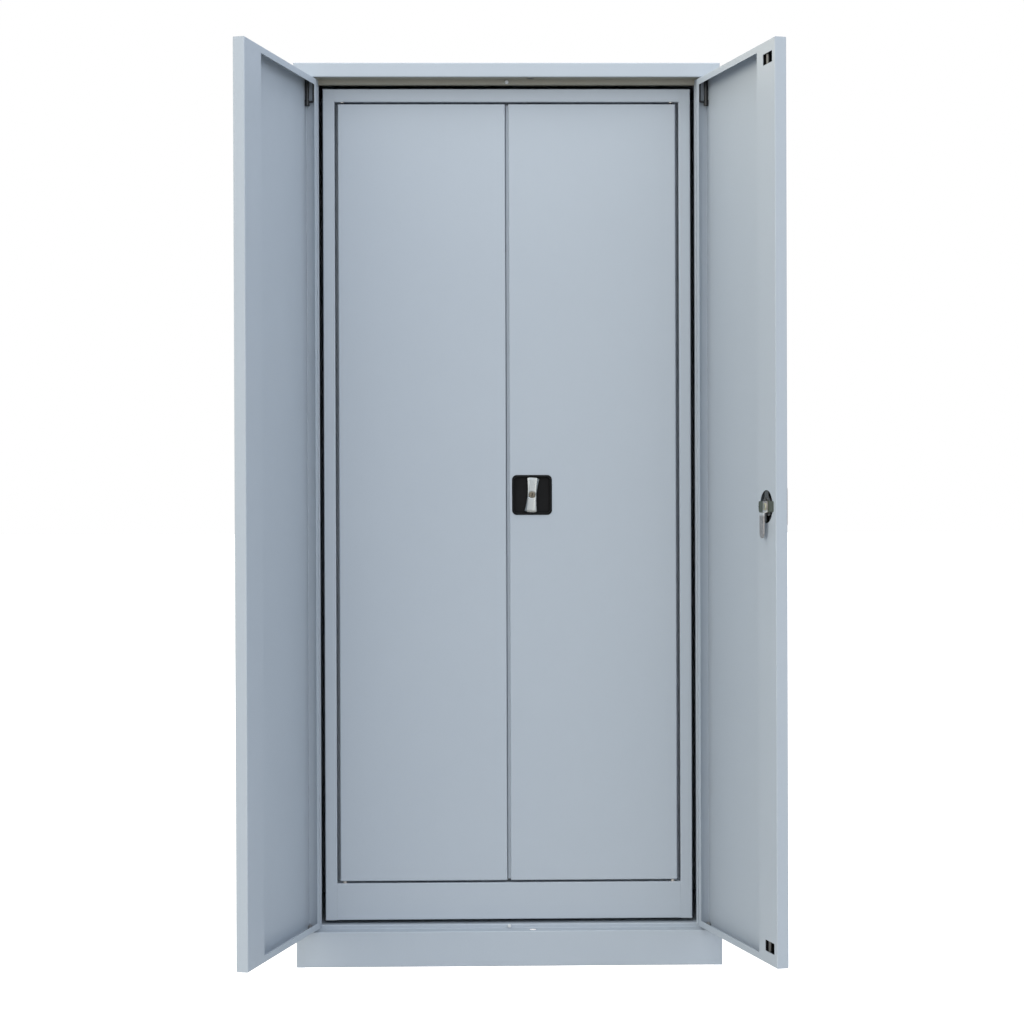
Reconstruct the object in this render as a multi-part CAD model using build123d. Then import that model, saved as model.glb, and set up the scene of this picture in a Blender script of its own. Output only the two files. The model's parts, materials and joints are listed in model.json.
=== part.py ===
from build123d import *
import os
from math import sqrt

os.makedirs("parts", exist_ok=True)

# Steel tool cabinet: an outer carcass with two wing doors, and inside it a second
# carcass with its own two doors. Millimetres; X to the right, Y to the back, Z up.
# The origin lies on the floor, under the middle of the outer carcass.

# ---------------------------------------------------------------- outer carcass
cabinet_width = 920.0
cabinet_depth = 420.0
cabinet_height = 1950.0
sheet = 1.2                  # carcass sheet thickness
bend = 1.0                   # inside radius of every fold in the carcass sheet
fascia_height = 31.0
plinth_height = 76.0
outer_stile = 18.0           # front face of the side panels
rebate_depth = 32.0          # front plane back to the stop lip
outer_lip = 33.5             # stop lip along the sides
top_stop = 10.0              # stop lip hanging from the rebate ceiling
bottom_stop = 9.0            # rise from the rebate ledge to the deck
lip_return = 16.0
rear_flange = 18.0
foot_flange = 20.0
panel_fit = 0.5              # gap where one folded sheet is notched round another
stile_seam = 0.15            # between a stile and the cross piece beside it

# ---------------------------------------------------------------- inner carcass
inner_side_gap = 60.0        # outer side face to the inner side face
inner_back_gap = 15.0        # outer back face to the inner back face
inner_setback = 45.0         # outer front plane back to the inner front plane
inner_stile = 25.5
inner_top_rail = 28.5
inner_bottom_rail = 80.0
inner_lip = 15.0
inner_headroom = 48.0        # outer top face down to the inner top face
pad_height = 8.0
pad_size = 28.0
pad_inset = 10.0
pad_spread = 260.0

# ------------------------------------------------------------------------ doors
door_thickness = 25.0
door_sheet = 1.0
door_edge_radius = 2.5       # outside radius round the front of a leaf
door_back_radius = 1.5
door_step_radius = 0.6
box_stile_width = 93.0       # hollow section along the free edge
hinge_flange = 15.0
end_flange = 14.0
stile_foot = 10.0
outer_seam = 3.0
outer_side_gap = 2.5
outer_end_gap = 3.0
outer_foot_gap = 6.0
inner_seam = 7.0
inner_gap = 7.0
inner_end_gap = 4.5
seam_step = 5.5              # strip on the right inner leaf that narrows the seam
seam_step_setback = 8.0
seam_step_inset = 3.0
outer_rest_angle = 104.5     # the wing doors stand open

# ----------------------------------------------------------------------- hinges
pivot_inset = 9.0            # hinge edge to the pivot axis
pivot_setback = 6.0          # outer face to the pivot axis
pivot_diameter = 6.0
running_gap = 0.05           # radial, between a pin and its bush
bush_wall = 1.45
bush_flange = 1.2
bush_flange_rim = 1.0
bush_length = 7.0
bush_play = 0.25             # between the pivot's shoulder and the leaf's bush
rivet_rim = 0.8              # rivet head under the ledge, round the pivot
pivot_reach = 9.0            # bottom pivot above the door's lower return
staple_legs = 14.5           # spacing of the two legs of the top hinge pin
staple_wire = 4.5            # short leg and cross bar
staple_sleeve = 8.0          # round the hinge leg, inside the door
staple_drop = 50.0           # legs below the door's top return
staple_corner = 3.5          # radius of the bends between the legs
staple_reach = 7.0           # hinge leg above the rebate ceiling
staple_collar_height = 12.0
staple_collar_drop = 8.0     # collar below the cross bar
staple_collar_rim = 2.0
staple_fit = 0.2

# ------------------------------------------------------------------------ locks
backset = 49.0               # free edge to the spindle
outer_lock_height = 992.0
inner_lock_height = 1018.0
inner_handle_rest = 5.0      # the inner knob stands a little past its stop
plate_size = 87.0
plate_radius = 10.5
plate_proud = 3.0
plate_bevel = 2.2
plate_rim = 4.0
plate_draft = 2.0
plate_wall = 1.0
plate_back = 11.0            # outer door face to the back of the handle plate
pocket_floor = 7.5           # outer door face to the floor of the dish
pocket_radius = 8.0
lock_fit = 0.2
case_wall = 1.3
case_radius = 5.0
case_back = 13.0
boss_back = 18.6
boss_diameter = 61.0
lock_window = 66.0           # round opening in the box stile behind the lock
knob_length = 77.2
knob_end_width = 26.5
knob_waist = 19.0
knob_proud = 3.6
knob_back = 6.6
knob_edge = 1.6
plug_diameter = 12.8
plug_proud = 4.0
plug_back = 3.4
plug_clearance = 0.3
keyway_width = 1.4
keyway_length = 8.0
keyway_depth = 5.0
spindle_diameter = 10.0
spindle_front = 4.8
spindle_thread = 8.0
spindle_end = 30.2
spindle_running_gap = 0.1
crank_front = 19.2
crank_back = 21.2
crank_radius = 18.0
crank_pin = 5.0
crank_pin_end = 23.9
rod_travel = 18.0
rod_diameter = 8.0
rod_setback = 18.2           # outer door face to the rod's axis
rod_nose = 2.5
rod_proud = 1.0              # nose above the door edge when drawn back
rod_guide_gap = 0.3
rod_plate_front = 21.8
rod_plate_back = 23.6
rod_plate_near = 7.0         # plate's edge beside the leg
rod_plate_far = 13.0
rod_leg_inner = 4.5
rod_leg_outer = 18.5
rod_leg_foot = 6.5
upper_rod_neck = 17.0        # spindle to the lower edge of the rod's plate
lower_rod_neck = 36.0
rod_shoulder_drop = 7.0
rod_start = 60.0
rod_plate_end = 75.0
slot_clearance = 0.5
cam_width = 22.0
cam_sheet = 2.0
cam_front = 26.2
cam_step = 7.1
cam_bend_start = 10.5
cam_bend_end = 12.0
cam_length = 63.0
strap_half = 38.0            # bridge across the round opening, with the spindle through it
strap_height = 22.0
strap_sheet = 1.0
strap_corner = 4.0
strap_rivet_inset = 2.6
strap_rivet = 4.0
strap_rivet_height = 0.7
nut_flats = 13.0
nut_height = 1.8
case_screw_circle = 26.0
case_screw = 4.0
case_screw_head = 7.4
case_screw_head_height = 2.4
case_screw_bite = 2.2
guide_width = 54.0
guide_height = 54.0
guide_wall = 3.5
guide_pocket_front = 6.0
guide_offset = -12.0         # guide's middle from the rod's axis, towards the free edge
window_inset = 24.5          # door edge to the window in the box stile
window_height = 22.0
rod_hole_gap = 1.0
outer_strike = 16.0
inner_strike = 14.0

# ---------------------------------------------------------------------- fittings
buffer_diameter = 8.0
buffer_gap = 0.3
base_bracket_leg = 40.0
base_bracket_sheet = 2.0
bolt_diameter = 8.0
bolt_hole_gap = 0.2
bolt_head = 5.3
bolt_flats = 13.0
rail_width = 25.0
rail_depth = 12.0
rail_setback = 60.0          # inner front plane to the front rail
rail_back_gap = 30.0
rail_end_gap = 24.0
slot_pitch = 50.0
slot_first = 40.0
slot_width = 12.0
slot_height = 4.0
shelf_slots = (6, 13, 20, 27)
shelf_height = 25.0
shelf_return = 10.0
shelf_side_gap = 1.5
shelf_setback = 48.0         # inner front plane to the shelf's front edge
shelf_back_gap = 12.0
clip_tongue = 14.0
clip_width = 10.0
clip_sheet = 2.0
clip_height = 20.0
clip_peg = 3.0
clip_peg_height = 3.0

# ------------------------------------------------------------- derived positions
half_width = cabinet_width / 2
front_y = -cabinet_depth / 2
back_y = cabinet_depth / 2
opening_bottom = plinth_height
opening_top = cabinet_height - fascia_height
outer_opening_half = half_width - outer_stile
deck_z = opening_bottom + bottom_stop

inner_half = half_width - inner_side_gap
inner_front_y = front_y + inner_setback
inner_back_y = back_y - inner_back_gap
inner_base = deck_z + pad_height
inner_top = cabinet_height - inner_headroom
inner_opening_bottom = inner_base + inner_bottom_rail
inner_opening_top = inner_top - inner_top_rail
inner_opening_half = inner_half - inner_stile
inner_deck = inner_opening_bottom + bottom_stop

outer_free_x = outer_seam / 2
outer_leaf_width = outer_opening_half - outer_side_gap - outer_free_x
outer_leaf_bottom = opening_bottom + outer_foot_gap
outer_leaf_height = opening_top - outer_end_gap - outer_leaf_bottom
outer_pivot_x = outer_free_x + outer_leaf_width - pivot_inset
outer_pivot_y = front_y + pivot_setback

inner_free_x = inner_seam / 2
inner_leaf_width = inner_opening_half - inner_gap - inner_free_x
inner_leaf_bottom = inner_opening_bottom + inner_end_gap
inner_leaf_height = inner_opening_top - inner_end_gap - inner_leaf_bottom
inner_pivot_x = inner_free_x + inner_leaf_width - pivot_inset
inner_pivot_y = inner_front_y + pivot_setback

crank_arm = rod_travel / sqrt(2)     # the pins swing from 45 degrees below to 45 above
rod_ratio = rod_travel / 90.0        # rod travel per degree of knob
bush_outer = pivot_diameter / 2 + running_gap + bush_wall

pocket_half = plate_size / 2 - plate_rim
plate_body_half = pocket_half + plate_wall
case_half = plate_body_half + lock_fit + case_wall
guide_low_x = backset + guide_offset - guide_width / 2
guide_window = (guide_low_x + guide_wall, guide_low_x + guide_width - guide_wall)

rail_face = inner_half - sheet - rail_depth
rail_high = inner_opening_top - rail_end_gap
rail_rows = (
    inner_front_y + rail_setback + rail_width / 2,
    inner_back_y - 2 * sheet - rail_back_gap - rail_width / 2,
)


# ------------------------------------------------------------------------ helpers
def save(name, *solids):
    """Write one node: a single solid, or a group of alike solids."""
    shape = solids[0] if len(solids) == 1 else Compound(children=list(solids))
    export_step(shape, f"parts/{name}.step")


def block(low, high):
    """A box from its lowest corner to its highest."""
    size = [b - a for a, b in zip(low, high)]
    centre = [(a + b) / 2 for a, b in zip(low, high)]
    return Pos(*centre) * Box(*size)


def both_sides(shape):
    """The shape and its twin across the cabinet's middle plane."""
    return [shape, mirror(shape, about=Plane.YZ)]


def rod_along_y(radius, front, back, x=0.0, z=0.0):
    """A cylinder that runs from depth front to depth back."""
    return Pos(x, (front + back) / 2, z) * Rot(90, 0, 0) * Cylinder(radius, back - front)


def rod_along_z(radius, low, high, x=0.0, y=0.0):
    """An upright cylinder between two heights."""
    return Pos(x, y, (low + high) / 2) * Cylinder(radius, high - low)


def slab(outline, front, back):
    """A flat plate: an outline in X and Z, carried from depth front to depth back."""
    face = make_face(Plane.XZ * Polyline(*outline, close=True))
    return Pos(0, back, 0) * extrude(face, amount=back - front, dir=(0, -1, 0))


def rounded_plate(half, radius, front, back, taper=0.0):
    """A square plate with rounded corners, facing along Y, narrowing by taper degrees."""
    sketch = Plane(origin=(0, front, 0), x_dir=(1, 0, 0), z_dir=(0, 1, 0)) * RectangleRounded(
        2 * half, 2 * half, radius
    )
    return extrude(sketch, amount=back - front, taper=taper)


def folded_sheet(plane, path, thickness, length, side):
    """A strip of sheet folded along a path of right-angle corners.

    The path is the visible surface; the sheet lies on its left (side +1) or its
    right (side -1). Every fold has the same inside radius.
    """
    count = len(path)
    normals = []
    for (x0, y0), (x1, y1) in zip(path[:-1], path[1:]):
        run = sqrt((x1 - x0) ** 2 + (y1 - y0) ** 2)
        normals.append((-(y1 - y0) / run * side, (x1 - x0) / run * side))
    hidden = []
    for i, (x, y) in enumerate(path):
        before = normals[max(i - 1, 0)]
        after = normals[min(i, count - 2)]
        shift = after if before == after else (before[0] + after[0], before[1] + after[1])
        hidden.append((x + shift[0] * thickness, y + shift[1] * thickness))
    section = make_face(Polyline(*path, *reversed(hidden), close=True))
    for i in range(1, count - 1):
        (ax, ay), (bx, by), (cx, cy) = path[i - 1], path[i], path[i + 1]
        turn = ((bx - ax) * (cy - by) - (by - ay) * (cx - bx)) * side
        outside, inside = bend + thickness, bend
        visible_radius, hidden_radius = (outside, inside) if turn > 0 else (inside, outside)
        for point, radius in ((path[i], visible_radius), (hidden[i], hidden_radius)):
            corner = section.vertices().sort_by_distance((point[0], point[1], 0))[0]
            section = fillet(corner, radius)
    return extrude(plane * section, amount=length, dir=plane.z_dir)


# ------------------------------------------------------------- carcass sheet metal
def side_panel(half, front, back, base, top, open_low, open_high, stile, lip):
    """Right side: wall, front stile, rebate and stop lip folded from one sheet.

    Above and below the opening the stile goes on in front of the two cross pieces.
    """
    lip_edge = half - stile - lip
    stop = front + rebate_depth
    rear = back - sheet
    stile_fold = [
        (lip_edge, stop + lip_return),
        (lip_edge, stop),
        (half - stile, stop),
        (half - stile, front),
        (half, front),
        (half, rear),
        (half - rear_flange, rear),
    ]
    panel = Pos(0, 0, open_low) * folded_sheet(
        Plane.XY, stile_fold, sheet, open_high - open_low, 1
    )
    stile_top = top - sheet - bend
    rear_fold = [(half, rear), (half - rear_flange, rear)]
    for low, high, front_fold in (
        (base, open_low, [(half - stile, front), (half, front)]),
        (open_high, stile_top, [(half - stile, front), (half, front)]),
        (stile_top, top - sheet, [(half, front + sheet)]),
    ):
        panel += Pos(0, 0, low) * folded_sheet(
            Plane.XY, front_fold + rear_fold, sheet, high - low, 1
        )
    foot_front = front + foot_flange + panel_fit
    panel += block(
        (half - foot_flange, foot_front, base), (half - sheet / 2, rear - sheet, base + sheet)
    )
    return panel


def behind_stile(half, front, stile, low, high):
    """Tool that shortens a cross piece where the side's stile passes in front of it."""
    return block((half - stile - stile_seam, front - sheet, low),
                 (half + sheet, front + sheet + panel_fit, high))


def top_panel(half, front, back, top, open_high, stile, lip):
    """Roof, fascia, rebate ceiling and top stop lip folded from one sheet."""
    stop = front + rebate_depth
    fold = [
        (stop + lip_return, open_high - top_stop),
        (stop, open_high - top_stop),
        (stop, open_high),
        (front, open_high),
        (front, top),
        (back, top),
    ]
    panel = Pos(-half, 0, 0) * folded_sheet(Plane.YZ, fold, sheet, 2 * half, -1)
    for cut in (
        block((half - stile - lip, front - sheet, open_high - 2 * top_stop),
              (half + sheet, back, open_high)),
        block((half - sheet, front + sheet, open_high - sheet),
              (half + sheet, back, top - sheet)),
        behind_stile(half, front, stile, open_high - sheet, top - sheet - bend),
    ):
        panel -= both_sides(cut)
    return panel


def bottom_panel(half, front, back, base, open_low, stile, lip):
    """Plinth, rebate ledge, stop riser and deck folded from one sheet."""
    stop = front + rebate_depth
    rear = back - 2 * sheet - bend
    deck = open_low + bottom_stop
    fold = [
        (front + foot_flange, base),
        (front, base),
        (front, open_low),
        (stop, open_low),
        (stop, deck),
        (rear, deck),
        (rear, deck - foot_flange),
    ]
    panel = Pos(-half, 0, 0) * folded_sheet(Plane.YZ, fold, sheet, 2 * half, -1)
    notch_back = stop + lip_return + panel_fit
    for cut in (
        block((half - stile - lip, front - sheet, open_low),
              (half + sheet, notch_back, deck + sheet)),
        block((half - sheet, front + sheet, base - sheet),
              (half + sheet, back, deck + sheet)),
        behind_stile(half, front, stile, base - sheet, open_low + sheet),
    ):
        panel -= both_sides(cut)
    return panel


def back_panel(half, back, base, top):
    """Flat sheet laid over the rear flanges."""
    return block((-half, back - sheet, base), (half, back, top - sheet))


def pivot_hole(x, y, z):
    """Tool that opens a sheet at height z for a hinge bush."""
    return rod_along_z(bush_outer, z - 2 * sheet, z + 2 * sheet, x, y)


def top_bush(x, y, ceiling):
    """Flanged bush pressed up into the rebate ceiling."""
    bush = rod_along_z(bush_outer, ceiling, ceiling + bush_length, x, y)
    bush += rod_along_z(bush_outer + bush_flange_rim, ceiling - bush_flange, ceiling, x, y)
    bore = pivot_diameter / 2 + running_gap
    return bush - rod_along_z(bore, ceiling - 2 * bush_flange, ceiling + 2 * bush_length, x, y)


def bottom_pivot(x, y, ledge, gap):
    """Shouldered pin riveted through the rebate ledge; gap is the door's end gap."""
    radius = pivot_diameter / 2
    seat = ledge + gap - bush_flange - bush_play
    pin = rod_along_z(radius, ledge - 2 * sheet, ledge + gap + pivot_reach, x, y)
    pin += rod_along_z(bush_outer + bush_flange_rim, ledge, seat, x, y)
    return pin + rod_along_z(radius + rivet_rim, ledge - 2 * sheet, ledge - sheet, x, y)


def wing_buffer(stop_y, z):
    """Plastic stop on the lip that both leaves close against."""
    leaf_back = stop_y - rebate_depth + door_thickness
    return rod_along_y(buffer_diameter / 2, leaf_back + buffer_gap, stop_y, 0, z)


def pads_and_bolts():
    """Spacer pads between the two carcasses, each with its bolt and nut."""
    pads, bolts, holes = [], [], []
    x = inner_half - pad_inset
    middle = (inner_front_y + inner_back_y) / 2
    for y in (middle - pad_spread / 2, middle + pad_spread / 2):
        hole = rod_along_z(bolt_diameter / 2 + bolt_hole_gap, deck_z - 4 * sheet,
                           inner_base + 4 * sheet, x, y)
        low = (x - pad_size / 2, y - pad_size / 2, deck_z)
        high = (x + pad_size / 2, y + pad_size / 2, inner_base)
        pads += both_sides(block(low, high) - hole)
        shank_top = inner_base + sheet + bolt_head
        shank = rod_along_z(bolt_diameter / 2, deck_z - sheet, shank_top, x, y)
        hexagon = RegularPolygon(bolt_flats / 2, 6, major_radius=False)
        head = Pos(x, y, deck_z - sheet - bolt_head) * extrude(hexagon, amount=bolt_head)
        nut = Pos(x, y, inner_base + sheet) * extrude(hexagon, amount=bolt_head)
        bolts += both_sides(shank + head + nut)
        holes += both_sides(hole)
    return pads, bolts, holes


def base_brackets():
    """Angles that stiffen the four lower corners."""
    brackets = []
    side = half_width - sheet
    low = sheet + bend
    for wall, direction, top in (
        (front_y + sheet, 1, opening_bottom - 2 * sheet - bend),
        (back_y - 2 * sheet - bend, -1, deck_z - foot_flange - bend),
    ):
        for depth, reach in (
            (base_bracket_leg, base_bracket_sheet), (base_bracket_sheet, base_bracket_leg)
        ):
            near, far = sorted((wall, wall + direction * depth))
            leg = block((side - reach, near, low), (side, far, top))
            angle = leg if depth == base_bracket_leg else angle + leg
        corner = angle.edges().filter_by(Axis.Z).sort_by_distance((side, wall, low))[0]
        brackets += both_sides(fillet(corner, bend + panel_fit))
    return brackets


# ------------------------------------------------------------------ shelf fittings
def slot_z(index):
    """Middle of a slot in the shelf rails, counted from the lowest."""
    return inner_deck + slot_first + index * slot_pitch


def shelf_rail(y):
    """Slotted channel on the right inner wall."""
    wall = inner_half - sheet
    low = (rail_face, y - rail_width / 2, inner_deck)
    high = (wall, y + rail_width / 2, rail_high)
    hollow_low = (rail_face + sheet, low[1] + sheet, inner_deck - sheet)
    hollow_high = (wall + sheet, high[1] - sheet, rail_high + sheet)
    count = int((rail_high - slot_z(0)) // slot_pitch) + 1
    slots = [
        Pos(rail_face, y, slot_z(i)) * Box(4 * sheet, slot_width, slot_height)
        for i in range(count)
    ]
    return block(low, high) - block(hollow_low, hollow_high) - slots


def shelf_clip(y, index):
    """Hooked bracket: a peg in the slot, a tab on the rail and a tongue under the shelf."""
    z = slot_z(index)
    edge = z + clip_height / 2
    tab = block((rail_face - clip_sheet, y - clip_width / 2, z - clip_height / 2),
                (rail_face, y + clip_width / 2, edge))
    tongue = block((rail_face - clip_tongue, y - clip_width / 2, z - clip_height / 2),
                   (rail_face, y + clip_width / 2, z - clip_height / 2 + clip_sheet))
    peg = block((rail_face, y - clip_width / 2, z - clip_peg_height / 2),
                (rail_face + clip_peg, y + clip_width / 2, z + clip_peg_height / 2))
    return tab + tongue + peg


def shelf(index):
    """Shelf pan: a plate with its four edges folded down and turned in."""
    half = rail_face - clip_sheet - shelf_side_gap
    front = inner_front_y + shelf_setback
    back = inner_back_y - 2 * sheet - shelf_back_gap
    low = slot_z(index) - clip_height / 2 + clip_sheet
    high = low + shelf_height
    pan = block((-half, front, low), (half, back, high))
    pan = fillet(pan.faces().sort_by(Axis.Z)[-1].edges(), bend + sheet)
    hollow = block((-half + sheet, front + sheet, low + sheet),
                   (half - sheet, back - sheet, high - sheet))
    window = block((-half + shelf_return, front + shelf_return, low - sheet),
                   (half - shelf_return, back - shelf_return, low + 2 * sheet))
    return pan - hollow - window


# --------------------------------------------------------------------- door leaves
def leaf(width, height):
    """A leaf in its own frame: free edge at X 0, outer face at Y 0, foot at Z 0."""
    depth, wall = door_thickness, door_sheet
    skin = block((0, 0, 0), (width, depth, height))
    skin = fillet(skin.faces().sort_by(Axis.Y)[0].edges(), door_edge_radius)
    skin = fillet(skin.faces().sort_by(Axis.Y)[-1].edges(), door_back_radius)
    hollow = block((wall, wall, wall), (width - wall, depth - wall, height - wall))
    hollow = fillet(hollow.faces().sort_by(Axis.Y)[0].edges(), door_edge_radius - wall)
    skin -= hollow
    skin -= block((box_stile_width, depth - 2 * wall, end_flange),
                  (width - hinge_flange, depth + wall, height - end_flange))
    skin += block((box_stile_width - wall, wall, wall),
                  (box_stile_width, depth, height - wall))
    skin += block((box_stile_width - wall - stile_foot, wall, wall),
                  (box_stile_width, 2 * wall, height - wall))
    step = skin.edges().filter_by(Axis.Z).sort_by_distance(
        (box_stile_width, depth, height / 2)
    )[0]
    skin = fillet(step, door_step_radius)
    for leg, y in ((pivot_diameter, pivot_setback), (staple_wire, pivot_setback + staple_legs)):
        skin -= rod_along_z(leg / 2 + staple_fit, height - 2 * wall, height + wall,
                            width - pivot_inset, y)
    return skin - rod_along_z(bush_outer, -wall, 2 * wall, width - pivot_inset, pivot_setback)


def seam_strip(height, reach):
    """Strip on the free edge, set back in the seam between the leaves."""
    return block((-reach, seam_step_setback, seam_step_inset),
                 (0, seam_step_setback + door_sheet, height - seam_step_inset))


def lock_cuts(height, spindle_z):
    """Openings that a lock needs in its leaf."""
    depth, wall = door_thickness, door_sheet
    body = plate_body_half + lock_fit
    case = case_half + lock_fit
    inner_wall = box_stile_width - wall
    cuts = [
        block((inner_wall - stile_foot - wall, wall, spindle_z - case),
              (inner_wall, 2 * wall, spindle_z + case)),
        Pos(backset, 0, spindle_z) * rounded_plate(body, pocket_radius, -wall, 2 * wall),
        rod_along_y(lock_window / 2, depth - 2 * wall, depth + wall, backset, spindle_z),
    ]
    for low in (window_inset, height - window_inset - window_height):
        cuts.append(block((guide_window[0], depth - 2 * wall, low),
                          (guide_window[1], depth + wall, low + window_height)))
    rod_hole = rod_diameter / 2 + rod_hole_gap
    for z in (0, height):
        cuts.append(rod_along_z(rod_hole, z - 2 * wall, z + 2 * wall, backset, rod_setback))
    return cuts


def hinge_staple(width, height, gap):
    """U-shaped hinge pin: the sleeved leg turns in the ceiling, the short one is in the leaf."""
    low = height - staple_drop
    x = width - pivot_inset
    reach = height + gap + staple_reach
    front, back = pivot_setback, pivot_setback + staple_legs
    path = FilletPolyline((x, front, low + 2 * staple_corner), (x, front, low), (x, back, low),
                          (x, back, height), radius=staple_corner)
    profile = Plane(origin=(x, front, low + 2 * staple_corner), z_dir=(0, 0, -1)) * (
        Circle(staple_wire / 2)
    )
    collar_low = low - staple_collar_drop
    collar_high = collar_low + staple_collar_height
    radius = pivot_diameter / 2 + staple_collar_rim
    pin = sweep(profile, path=path)
    pin += rod_along_z(pivot_diameter / 2, collar_high, reach, x, front)
    pin += rod_along_z(staple_sleeve / 2, collar_high, height - 2 * door_sheet, x, front)
    return pin + rod_along_z(radius, collar_low, collar_high, x, front)


def leaf_bush(width):
    """Flanged bush in the leaf's lower return, turning on the bottom pivot."""
    x = width - pivot_inset
    bush = rod_along_z(bush_outer, 0, bush_length, x, pivot_setback)
    bush += rod_along_z(bush_outer + bush_flange_rim, -bush_flange, 0, x, pivot_setback)
    bore = pivot_diameter / 2 + running_gap
    return bush - rod_along_z(bore, -2 * bush_flange, 2 * bush_length, x, pivot_setback)


# --------------------------------------------------------------------- lock pieces
# Each piece is made with the spindle's axis along Y through X 0, Z 0, and the outer
# door face at Y 0, in the drawn-back position.
def handle_plate():
    """Square dished plate: a rim on the skin and a tub through it."""
    plate = rounded_plate(plate_size / 2, plate_radius, -plate_proud, 0)
    plate = chamfer(plate.faces().sort_by(Axis.Y)[0].edges(), plate_bevel)
    plate += rounded_plate(plate_body_half, pocket_radius, 0, plate_back)
    plate -= rounded_plate(pocket_half, pocket_radius, -plate_proud, pocket_floor, plate_draft)
    plate -= rod_along_y(spindle_diameter / 2 + spindle_running_gap, 0, plate_back + 1)
    for x, z in case_screw_places():
        plate -= rod_along_y(case_screw / 2, plate_back - case_screw_bite, plate_back + 1, x, z)
    return plate


def case_screw_places():
    """The four screws stand on a circle, on the diagonals."""
    offset = case_screw_circle / sqrt(2)
    return [(x, z) for x in (-offset, offset) for z in (-offset, offset)]


def lock_case():
    """Rear half of the lock: a frame round the tub, its wall and a round boss."""
    case = rounded_plate(case_half, case_radius, door_sheet, case_back)
    case -= rounded_plate(plate_body_half + lock_fit, pocket_radius, 0, plate_back)
    case += rod_along_y(boss_diameter / 2, case_back, boss_back)
    case -= rod_along_y(spindle_diameter / 2 + spindle_running_gap, 0, boss_back + 1)
    for x, z in case_screw_places():
        case -= rod_along_y(case_screw / 2 + lock_fit, 0, boss_back + 1, x, z)
    return case


def case_screws():
    """Pan-head screws that pull the case and the plate together."""
    screws = []
    for x, z in case_screw_places():
        screw = rod_along_y(case_screw / 2, plate_back - case_screw_bite, boss_back, x, z)
        head = rod_along_y(case_screw_head / 2, boss_back, boss_back + case_screw_head_height, x, z)
        screws.append(screw + head)
    return screws


def knob():
    """Bow-tie grip with a bore for the key plug."""
    reach, end, waist = knob_length / 2, knob_end_width / 2, knob_waist / 2
    shoulder_z = sqrt(reach ** 2 - end ** 2)
    outline = [
        Edge.make_three_point_arc((-end, 0, shoulder_z), (0, 0, reach), (end, 0, shoulder_z)),
        Edge.make_three_point_arc((end, 0, shoulder_z), (waist, 0, 0), (end, 0, -shoulder_z)),
        Edge.make_three_point_arc((end, 0, -shoulder_z), (0, 0, -reach), (-end, 0, -shoulder_z)),
        Edge.make_three_point_arc((-end, 0, -shoulder_z), (-waist, 0, 0), (-end, 0, shoulder_z)),
    ]
    face = Face(Wire(outline))
    grip = Pos(0, knob_back, 0) * extrude(face, amount=knob_back + knob_proud, dir=(0, -1, 0))
    grip = fillet(grip.faces().sort_by(Axis.Y)[0].edges(), knob_edge)
    grip -= rod_along_y(plug_diameter / 2 + running_gap, -2 * knob_proud, plug_back + plug_clearance)
    return grip - rod_along_y(spindle_diameter / 2, spindle_front, knob_back + 1)


def key_plug():
    """Cylinder plug with its keyway."""
    plug = rod_along_y(plug_diameter / 2, -plug_proud, plug_back)
    slot = block((-keyway_width / 2, -plug_proud - 1, -keyway_length / 2),
                 (keyway_width / 2, keyway_depth - plug_proud, keyway_length / 2))
    return plug - slot


def spindle():
    """Spindle with the crank disc, its two pins and the threaded end for the cam."""
    shaft = rod_along_y(spindle_diameter / 2, spindle_front, crank_back)
    shaft += rod_along_y(spindle_thread / 2, crank_back, spindle_end)
    shaft += rod_along_y(crank_radius, crank_front, crank_back)
    offset = crank_arm / sqrt(2)
    for sign in (-1, 1):
        shaft += rod_along_y(crank_pin / 2, crank_back, crank_pin_end, sign * offset, sign * offset)
    return shaft


def rod_strap():
    """Bridge riveted across the opening in the box stile; it keeps the rods in."""
    back = door_thickness + strap_sheet
    plate = Plane(origin=(0, door_thickness, 0), x_dir=(1, 0, 0), z_dir=(0, 1, 0)) * (
        RectangleRounded(2 * strap_half, strap_height, strap_corner)
    )
    strap = extrude(plate, amount=strap_sheet)
    for x in (strap_rivet_inset - strap_half, strap_half - strap_rivet_inset):
        strap += rod_along_y(strap_rivet / 2, back, back + strap_rivet_height, x)
    return strap - rod_along_y(spindle_thread / 2 + lock_fit, 0, 2 * back)


def latch_cam():
    """Flat arm, cranked back so that it passes behind the other leaf."""
    half = cam_width / 2
    back = cam_front + cam_sheet
    arm = slab([(-half, half), (half, half), (half, -cam_bend_start), (-half, -cam_bend_start)],
               cam_front, back)
    tip_front, tip_back = cam_front + cam_step, back + cam_step
    crank = [
        (cam_front, -cam_bend_start),
        (back, -cam_bend_start),
        (tip_back, -cam_bend_end),
        (tip_back, -cam_bend_end - cam_sheet),
        (tip_front, -cam_bend_end - cam_sheet),
    ]
    bend_face = make_face(Plane.YZ * Polyline(*crank, close=True))
    arm += Pos(-half, 0, 0) * extrude(bend_face, amount=cam_width, dir=(1, 0, 0))
    arm += slab([(-half, -cam_bend_end - cam_sheet), (half, -cam_bend_end - cam_sheet),
                 (half, -cam_length + half), (-half, -cam_length + half)], tip_front, tip_back)
    arm += rod_along_y(half, tip_front, tip_back, 0, -cam_length + half)
    return arm - rod_along_y(spindle_thread / 2, 0, 2 * spindle_end)


def cam_nut():
    """Hexagon nut that holds the cam on the spindle."""
    front = cam_front + cam_sheet
    hexagon = Plane(origin=(0, front, 0), z_dir=(0, 1, 0)) * RegularPolygon(
        nut_flats / 2, 6, major_radius=False
    )
    nut = extrude(hexagon, amount=nut_height)
    return nut - rod_along_y(spindle_thread / 2, 0, 2 * spindle_end)


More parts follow.
